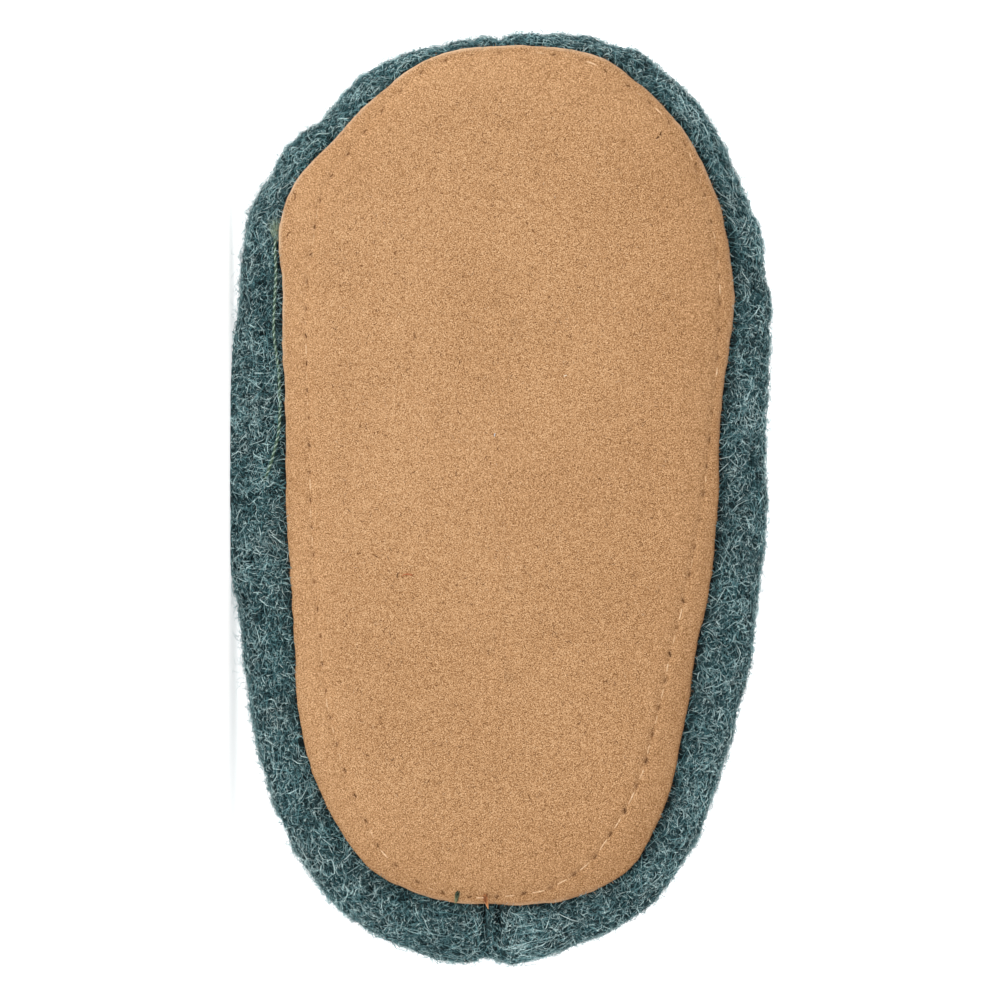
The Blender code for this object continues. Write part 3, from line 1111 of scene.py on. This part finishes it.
def wool_halo(face, material):
    """A soft fringe around the roll and the collar, and longer pale hairs all over."""
    row = face.row
    off_floor = face.areas * (face.grid[:-1, :, 1] > 1.0 - FLOOR_FLAT)
    fringe = 1.0 * (np.abs(row - WIDEST_ROW) < 7) + 0.5 * (np.abs(row - COLLAR_ROW - 3) < 4)
    outside = (row >= LIP_ROWS + 9) & (row <= COLLAR_ROW + RIM_ROWS + 4)
    over_all = outside * np.where(face.grid[:-1, :, 2] < ROLL_HEIGHT + 5.0, 3.0, 1.0)
    for share, (name, count, lengths, stand, tints, radii, arch) in zip((fringe, over_all), LOOSE_ROWS):
        place = scatter(off_floor * share, count)
        lift = random.gamma(LOOSE_STAND, stand, count)[:, None] * arch
        paths = curl_paths(face, *place, random.uniform(*lengths, count), lift)
        # Pale tints: painted light on hairs lit from behind
        hairs = (paths, random.uniform(*radii, count), random.uniform(*tints, count))
        add_fibres(name, [hairs], material)


def wool_height(out, edge):
    """Height of the plain roll at a distance out past the sole's edge."""
    share = fade((out + LIP_START) / (edge.overhang + LIP_START))
    return ROLL_HEIGHT - (ROLL_HEIGHT - ROLL_BOTTOM) * np.sqrt(1.0 - share**2)


def crossing_hairs(material):
    """Loose hairs of the wool that lie over the sole's edge."""
    size = (CROSSING_FIBRES, 1)
    t = np.linspace(0.0, 1.0, CROSSING_KNOTS)
    round_edge = Edge(np.linspace(0.0, Edge.length, 600))
    share = np.cumsum(1.2 - gap_shade(round_edge))
    start = np.interp(random.random(size), share / share[-1], round_edge.at)
    edge = Edge((start + random.normal(0.0, CROSSING_SLANT, size) * t).ravel())
    out = random.uniform(*CROSSING_ROOTS, size) * (1.0 - t)
    out = (out + random.uniform(*CROSSING_TIPS, size) * t).ravel()
    fall = np.tile((1.0 - t) ** 2.2, CROSSING_FIBRES)
    on_sole = crown(np.maximum(-out, 0.0)) - 0.05
    height = on_sole + (wool_height(out, edge) - on_sole) * fall
    loose = np.repeat(random.uniform(*CROSSING_LIFTS, CROSSING_FIBRES), len(t))
    height = np.where(out < 0.15, np.minimum(height, on_sole), height + loose)
    paths = raised(edge.inside(-out), height).reshape(-1, len(t), 3)
    radii = random.uniform(*CROSSING_RADII, CROSSING_FIBRES)
    tints = random.uniform(*CROSSING_TINTS, CROSSING_FIBRES)
    add_fibres("wool_crossing_hairs", [(paths, radii, tints)], material)


# Suede sole


def sewn_line(at):
    """Plan points of the sewing at places along the sole's edge."""
    edge = Edge(at)
    return edge.inside(edge.sewn_in + 0.12 * edge.noise(3.0, seed=61, octaves=1))


def stitch_places():
    """Where the needle slits are along the sole's edge, evenly along the sewing."""
    at = np.linspace(0.0, Edge.length, 1200)
    run = distance_along(sewn_line(at))
    count = int(round(run[-1] / STITCH_PITCH))
    return np.interp(STITCH_START + np.arange(count) * run[-1] / count, run, at)


def sewing_shows(at, column):
    """How plainly the slits or the thread show at places along the edge."""
    table = named(SEWING_COLUMNS, SEWING_ROWS)
    return np.interp(np.mod(at / Edge.length, 1.0), table["turn"], table[column])


def uneven_edge(edge):
    """How far out the sole's hand-cut edge wobbles."""
    return 0.14 * edge.noise(5.0, seed=51) + 0.08 * edge.noise(1.5, seed=53)


def painted_light_drift(points):
    """Painted light over the sole: paler to the outer side, darker to the inner side and the heel."""
    return -0.022 * points[:, 1] / 30.0 - 0.018 * fade(1.0 - points[:, 0] / 45.0)


def suede_swell(plan):
    """How far the suede sinks and swells at plan points."""
    return 0.06 * fractal(raised(plan), size=5.0, seed=5)


def needle_slits(plan):
    """How deep in a needle slit each plan point is, from 0 to 1."""
    places = stitch_places()
    centre = sewn_line(places)
    size = (0.6 + 0.7 * np.abs(lumps(raised(centre), size=2.0, seed=71))) * sewing_shows(places, "slits")
    depth = np.zeros(plan.shape[:-1])
    for place, ahead, long in zip(centre, heading_of(sewn_line, places), size):
        offset = plan - place
        near = np.abs(offset).max(axis=-1) < 1.5
        along = offset[near] @ ahead
        across = offset[near] @ np.array((-ahead[1], ahead[0]))
        slit = hill(along, SLIT_LENGTH) * hill(across, SLIT_WIDTH)
        depth[near] = np.maximum(depth[near], slit * long)
    return fade(depth)


def suede_sole(material):
    """The sole: a curled margin with painted shade at the inner side and the heel, a painted highlight on
    the cut edge towards the toe and right at the heel, sunk sewing, and needle slits with painted shade in
    them."""
    edge = Edge.whole(SOLE_COLUMNS)
    wobble = uneven_edge(edge)
    along = edge.point[:, 0]
    # Painted shade on the inner side and the heel
    painted_shade_side = np.maximum(fade(edge.outward[:, 1]), fade(-edge.outward[:, 0]))
    # pale: a painted highlight on the cut edge towards the toe and right at the heel, weaker on the shaded
    # sides
    pale = fade((along - 55.0) / 30.0) * (1.0 - 0.4 * painted_shade_side)
    pale = np.maximum(pale, 0.7 * fade((4.5 - along) / 3.0))
    pale *= np.clip(0.75 + 0.5 * edge.noise(2.5, seed=55), 0.2, 1.0)

    def rings(distances):
        return np.array([edge.inside(d - wobble * max(0.0, 1.0 - d / 2.0)) for d in distances])

    d = np.append(0.0, 0.1 + SOLE_EDGE_STEP * np.arange(SOLE_EDGE_RINGS + 1))[:, None]
    plan = rings(d[:, 0])
    slit = needle_slits(plan)
    trough = TROUGH_DEPTH * hill(d - edge.sewn_in, TROUGH_WIDTH) * (d > 0.3)
    height = crown(d) + trough + SLIT_DEPTH * slit + suede_swell(plan) + EDGE_BEVEL * (d == 0.0)
    # rim: painted shade, a thin line right at the edge and wider over the curled margin
    rim = (0.2 + 0.3 * painted_shade_side) * (1.0 - pale) * np.exp(-d / LINE_WIDTH)
    rim = rim + PAINTED_MARGIN_SHADE * painted_shade_side * np.exp(-d / PAINTED_MARGIN_WIDTH) + RIM_SHADE * hill(d, RIM_WIDTH)
    # cut: the painted highlight along the cut edge
    cut = PAINTED_EDGE_HIGHLIGHT * pale * hill(d, PAINTED_HIGHLIGHT_WIDTH)
    w = np.linspace(0.0, SPINE_REACH, SOLE_MIDDLE_RINGS + 1)[1:]
    middle, spine = toward_spine(plan[-1], w)
    w = w[:, None]
    rim = np.concatenate((rim, rim[-1] * (1.0 - w) ** 3))
    left_crown = crown(d[-1]) * (1.0 - w) ** 2
    tread = np.concatenate((raised(plan, height), raised(middle, left_crown + suede_swell(middle))))[::-1]
    d = np.array(SOLE_TOP_RINGS)[:, None]
    top = raised(rings(SOLE_TOP_RINGS), crown(d) + SOLE_THICKNESS - EDGE_BEVEL * (d == 0.0))
    last = raised(spine * 0.9 + edge.inside(SOLE_TOP_RINGS[-1]) * 0.1, SOLE_THICKNESS)
    centre = raised(spine.mean(axis=0))
    shape = closed_disc((tread, top, last[None]), centre, centre + UP * SOLE_THICKNESS)
    points = shape[0]
    # drift: painted light, paler to the outer side and darker to the inner side and the heel
    tints = {"drift": painted_light_drift(points)}
    # hole: painted shade in the needle slits
    for key, values in (("rim", rim), ("hole", HOLE_SHADE * slit), ("cut", cut)):
        tints[key] = np.zeros(len(points))
        first = (len(tread) - len(values)) * SOLE_COLUMNS
        tints[key][first : len(tread) * SOLE_COLUMNS] = values[::-1].ravel()
    piece = piece_from("suede_sole", shape, material, "suede", **tints)
    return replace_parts(piece, "outsole")


def inside_sole(plan, margin):
    """Whether plan points are inside the sole's edge by a margin."""
    x, y = plan.T[..., None]
    x0, y0 = Edge.whole(360).inside(margin).T
    x1, y1 = np.roll(x0, -1), np.roll(y0, -1)
    crosses = ((y0 > y) != (y1 > y)) & (x < (x1 - x0) * (y - y0) / (y1 - y0 + 1e-12) + x0)
    return crosses.sum(axis=1) % 2 == 1


def lying(plan, heading, length, height, bend=0.0, knots=5):
    """Short curved paths lying on the suede."""
    t = np.linspace(-0.5, 0.5, knots)
    angle = heading[:, None] + bend * t
    run = t * length[:, None]
    x = plan[:, :1] + np.cos(angle) * run
    y = plan[:, 1:] + np.sin(angle) * run
    return np.stack((x, y, np.broadcast_to(height, x.shape)), axis=2)


def suede_nap(material):
    """Short loose hairs lying on the suede, and cut hairs along its edge."""
    low, high = outline.min(axis=0), outline.max(axis=0)
    plan = low + (high - low) * random.random((NAP_FLECKS * 2, 2))
    plan = plan[inside_sole(plan, NAP_MARGIN)][:NAP_FLECKS]
    count = len(plan)
    heading = random.uniform(0.0, FULL_TURN, count) + random.normal(0.0, 0.4, count)
    flecks = lying(plan, heading, random.uniform(*NAP_LENGTHS, count), NAP_HEIGHTS, knots=len(NAP_HEIGHTS))
    edge = Edge(random.uniform(0.0, Edge.length, EDGE_HAIRS))
    root = raised(edge.inside(0.1 - uneven_edge(edge)), crown(0.0) + random.uniform(0.1, 1.2, EDGE_HAIRS))
    way = edge.outward + random.normal(0.0, 0.6, (EDGE_HAIRS, 2))
    way = raised(way, random.normal(-0.2, 0.4, EDGE_HAIRS))
    way = way * random.uniform(*EDGE_HAIR_LENGTHS, EDGE_HAIRS)[:, None]
    paths = np.concatenate((flecks, np.stack((root, root + way * 0.6, root + way), axis=1)))
    total = len(paths)
    dark = random.random(total) < DARK_FLECKS
    shape = strands(paths, random.uniform(*NAP_RADII, total) * np.where(dark, 1.5, 1.0))
    tint = np.where(dark, random.uniform(0.0, 0.15, total), random.normal(0.5, 0.24, total))
    tint[count:] *= 0.85
    piece_from("suede_nap", shape, material, "suede", tint=fade(tint))


def suede_marks(material):
    """Dark strands of painted shade in the needle slits along the sewing, and lint, small marks and two
    painted crease shadows.
    """
    places = stitch_places()
    shows = sewing_shows(places, "slits") * random.uniform(0.4, 1.2, len(places))
    ahead = heading_of(sewn_line, places)
    heading = np.arctan2(ahead[:, 1], ahead[:, 0]) + random.normal(0.0, 0.3, len(places))
    sunk = crown(Edge(places).sewn_in)[:, None] + 0.1
    slits = lying(sewn_line(places), heading, 0.35 + 0.6 * shows, sunk, bend=0.25)
    table = named(MARK_COLUMNS, MARK_ROWS)
    plan = np.column_stack((table["along"], table["across"]))
    from_edge = np.linalg.norm(plan[:, None] - outline, axis=2).min(axis=1)
    height = crown(from_edge)[:, None] - 0.04
    lint = lying(plan, np.radians(table["heading_deg"]), table["length"], height, bend=0.9)
    radii = np.append(0.045 + 0.055 * shows, np.full(len(plan), MARK_RADIUS))
    shape = strands(np.concatenate((slits, lint)), radii)
    # The slits' strands are painted shade, darker where the slits show more plainly
    tint = np.append(0.22 * fade(1.25 - 1.25 * shows), table["tint"])
    piece_from("suede_marks", shape, material, "suede", tint=tint)


def sole_stitches(material):
    """The thread between the needle slits, drawn down into the suede."""
    places = stitch_places()
    t = np.linspace(-1.0, 1.0, THREAD_KNOTS)
    paths = []
    for start, stop in zip(places, np.append(places[1:], places[0] + Edge.length)):
        shows = sewing_shows(start, "thread")
        if random.random() > shows + LEAST_SHOWN:
            continue
        start += random.uniform(*THREAD_STARTS)
        at = np.linspace(start, stop - random.uniform(*THREAD_STOPS), THREAD_KNOTS)
        line = sewn_line(at)
        sink = THREAD_SINK - 0.07 * shows + 0.08 * random.random() + THREAD_DIVE * t**4
        paths.append(raised(line, crown(Edge(at).sewn_in) + suede_swell(line) + sink))
    shape = strands(np.array(paths), THREAD_RADIUS, sides=6, capped=True)
    piece_from("sole_stitches", shape, material, "felt")


# Loose thread ends


def green_thread(plies, tuft):
    """A two-ply green thread end on the wool, with a frayed tuft."""
    order = np.arange(float(len(GREEN_ROWS)))
    along, out = smooth(order, np.array(GREEN_ROWS), np.linspace(0.0, order[-1], GREEN_KNOTS)).T
    outer_side = Edge(np.linspace(20.0, Edge.length * 0.42, 900))
    edge = Edge(np.interp(along, outer_side.point[:, 0], outer_side.at))
    middle = raised(edge.inside(-out), wool_height(out, edge) - GREEN_LIFT)
    middle[-30:, 2] += np.linspace(0.0, 0.7, 30) ** 2
    turn = distance_along(middle) / GREEN_TWIST * FULL_TURN
    tangent = unit(np.gradient(middle, axis=0))
    side = unit(np.cross(tangent, UP))
    other = np.cross(tangent, side)
    for (name, shift, radius), material in zip(GREEN_PLIES, plies):
        angle = (turn + shift)[:, None]
        path = middle + (side * np.cos(angle) + other * np.sin(angle)) * GREEN_SWING
        piece_from(name, strands(path[None], radius, sides=6, capped=True), material, "felt")
    t = np.linspace(0.0, 1.0, 5)[:, None]
    size = (TUFT_HAIRS, 1, 3)
    way = TUFT_WAY + random.normal(0.0, 0.2, size) * (0.6, 1.0, 0.35)
    start = middle[0] + TUFT_ROOT + random.normal(0.0, 0.14, size)
    curl = random.normal(0.0, 0.35, size) * (0.5, 1.0, 0.3)
    reach = random.uniform(*TUFT_LENGTHS, (TUFT_HAIRS, 1, 1))
    paths = start + way * t * reach + curl * t**2
    shape = strands(paths, random.uniform(*TUFT_RADII, TUFT_HAIRS))
    piece_from("green_tuft", shape, tuft, "felt")


def heel_threads(materials):
    """Two short frayed thread ends at the sole's edge by the heel seam."""
    t = np.linspace(0.0, 1.0, 9)
    shade = np.concatenate((np.repeat(t[1:-1], 3), t[[0, -1]]))
    size = (HEEL_HAIRS, 1)
    for (name, from_seam, start, stop, lean, radius), material in zip(HEEL_ENDS, materials):
        edge = Edge([from_seam])
        outward = raised(edge.outward[0])
        aside = np.cross(UP, outward)
        inside = (start + (stop - start) * t)[:, None]
        middle = raised(edge.point[0]) - outward * inside + aside * (lean * (t - 0.5))[:, None]
        middle += UP * (crown(np.maximum(inside, 0.0)) - 0.1 + 1.2 * np.maximum(-inside, 0.0))
        turn = random.uniform(0.0, FULL_TURN, size) + random.normal(2.0, 2.0, size) * t
        spread = radius * random.uniform(0.1, 1.0, size) * (1.1 - 0.6 * t)
        sideways = (np.cos(turn) * spread)[..., None] * aside
        off_sole = (np.sin(turn) * spread)[..., None] * UP * 0.7
        slide = random.normal(0.0, 0.22, (HEEL_HAIRS, 1, 1)) * outward
        shape = strands(middle + sideways + off_sole + slide, random.uniform(*HEEL_RADII, HEEL_HAIRS))
        tints = fade(shade + random.normal(0.0, 0.2, size))
        piece_from(name, shape, material, "felt", tint=tints)


# Insole


def felt_insole(material):
    """A felt pad inside the lip, over the sole."""
    edge = Edge.whole(INSOLE_COLUMNS)
    side = LIP_WIDTH + GAP
    bottom = SOLE_THICKNESS + GAP + crown(side)
    top = bottom + INSOLE_THICKNESS
    soft = INSOLE_EDGE_ROUNDING
    profile = (
        (soft, bottom),
        (0.1, bottom + soft),
        (0.0, bottom + INSOLE_THICKNESS / 2.0),
        (0.15, top - soft),
        (soft, top - 0.1),
    )
    border = [raised(edge.inside(side + distance), height) for distance, height in profile]
    plan, spine = toward_spine(edge.inside(side + soft + 0.8), np.linspace(0.0, SPINE_REACH, INSOLE_RINGS))
    pad = raised(plan, top + 0.12 * fractal(raised(plan), size=6.0, seed=21))
    middle = raised(spine.mean(axis=0))
    shape = closed_disc((border, pad), middle + UP * bottom, middle + UP * top)
    piece = piece_from("felt_insole", shape, material, "felt")
    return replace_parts(piece, "insole")


# Stage, lights and camera


def studio():
    """A pale paper floor, lit from below, that sweeps up into a round backdrop."""
    finish = Finish("studio_paper", roughness=1.0, specular=0.0)
    paper = {"Base Color": grey(PAPER_GREY), "Emission Color": grey(1.0), "Emission Strength": PAPER_GLOW}
    finish.set(finish.shader, paper)
    angle = np.linspace(0.0, math.pi / 2.0, 13)
    radius = np.append(SWEEP_RADIUS - SWEEP_BEND * (1.0 - np.sin(angle)), SWEEP_RADIUS)[:, None]
    height = np.append(SWEEP_BEND * (1.0 - np.cos(angle)), SWEEP_HEIGHT)[:, None]
    turn = np.arange(SWEEP_SIDES) * FULL_TURN / SWEEP_SIDES
    open_front = fade(2.0 + 6.0 * np.sin(turn))
    points = np.stack((radius * np.cos(turn), radius * np.sin(turn), height * open_front), axis=-1)
    faces = [list(range(SWEEP_SIDES))] + grid_faces(len(radius), SWEEP_SIDES)[:, ::-1].tolist()
    mesh = bpy.data.meshes.new("studio_sweep")
    mesh.from_pydata(points.reshape(-1, 3).tolist(), [], faces)
    mesh.shade_smooth()
    mesh.materials.append(finish.material)
    sweep = placed("studio_sweep", mesh)


def pose(right, up, back, place):
    """A matrix from an object's axes and its place."""
    return Matrix([*zip(right, up, back, place), (0.0, 0.0, 0.0, 1.0)])


def lights():
    """An even white air, and soft lights that each look at a target."""
    world = bpy.data.worlds.new("studio_air")
    world.use_nodes = True
    air = world.node_tree.nodes["Background"].inputs
    air["Color"].default_value = grey(1.0)
    air["Strength"].default_value = AIR_LIGHT
    bpy.context.scene.world = world
    for name, place, target, size, power in LIGHT_ROWS:
        data = bpy.data.lights.new(name, "AREA")
        data.shape = "RECTANGLE"
        data.size, data.size_y = size
        data.energy = power
        back = unit(np.subtract(place, target))
        right = unit(np.cross(UP, back))
        light = placed(name, data)
        light.matrix_world = pose(right, np.cross(back, right), back, place)


def camera():
    """Square on to the sole, rolled so that the toe is up."""
    data = bpy.data.cameras.new("camera")
    data.sensor_width = SENSOR
    data.lens = SENSOR * CAMERA_DISTANCE * PIXELS_PER_MM / FRAME_PIXELS
    data.clip_start = 0.01
    along = (HEEL_PIXEL_Y - FRAME_PIXELS / 2) / PIXELS_PER_MM
    place = to_world((along, 0.0, -CAMERA_DISTANCE))
    eye = placed("camera", data)
    eye.matrix_world = pose(UP, (-1.0, 0.0, 0.0), (0.0, -1.0, 0.0), place)
    bpy.context.scene.camera = eye
    bpy.context.scene.view_settings.view_transform = "Standard"


def main():
    camera()
    lights()
    studio()
    edge, plain, outer, knit, gap, crease = wool_surface()
    face = WoolFace(*wool_shell(edge, plain, outer, knit), gap, crease)
    knit_upper(face, wool_finish())
    fibre = fibre_finish()
    wool_fibres(face, fibre)
    wool_halo(face, fibre)
    crossing_hairs(fibre)
    suede_sole(suede_finish())
    suede_nap(strand_finish("suede_nap", roughness=0.9, specular=0.1, tinted=True))
    suede_marks(strand_finish("suede_marks", roughness=0.9, specular=0.1, tinted=True))
    sole_stitches(strand_finish("beige_thread"))
    plies = [strand_finish(name) for name in ("pale_green_thread", "dark_green_thread")]
    green_thread(plies, strand_finish("green_tuft"))
    ends = ("olive_thread", "tan_thread")
    heel_threads([strand_finish(name, roughness=0.75, specular=0.2, tinted=True) for name in ends])
    felt_insole(felt_finish())


main()
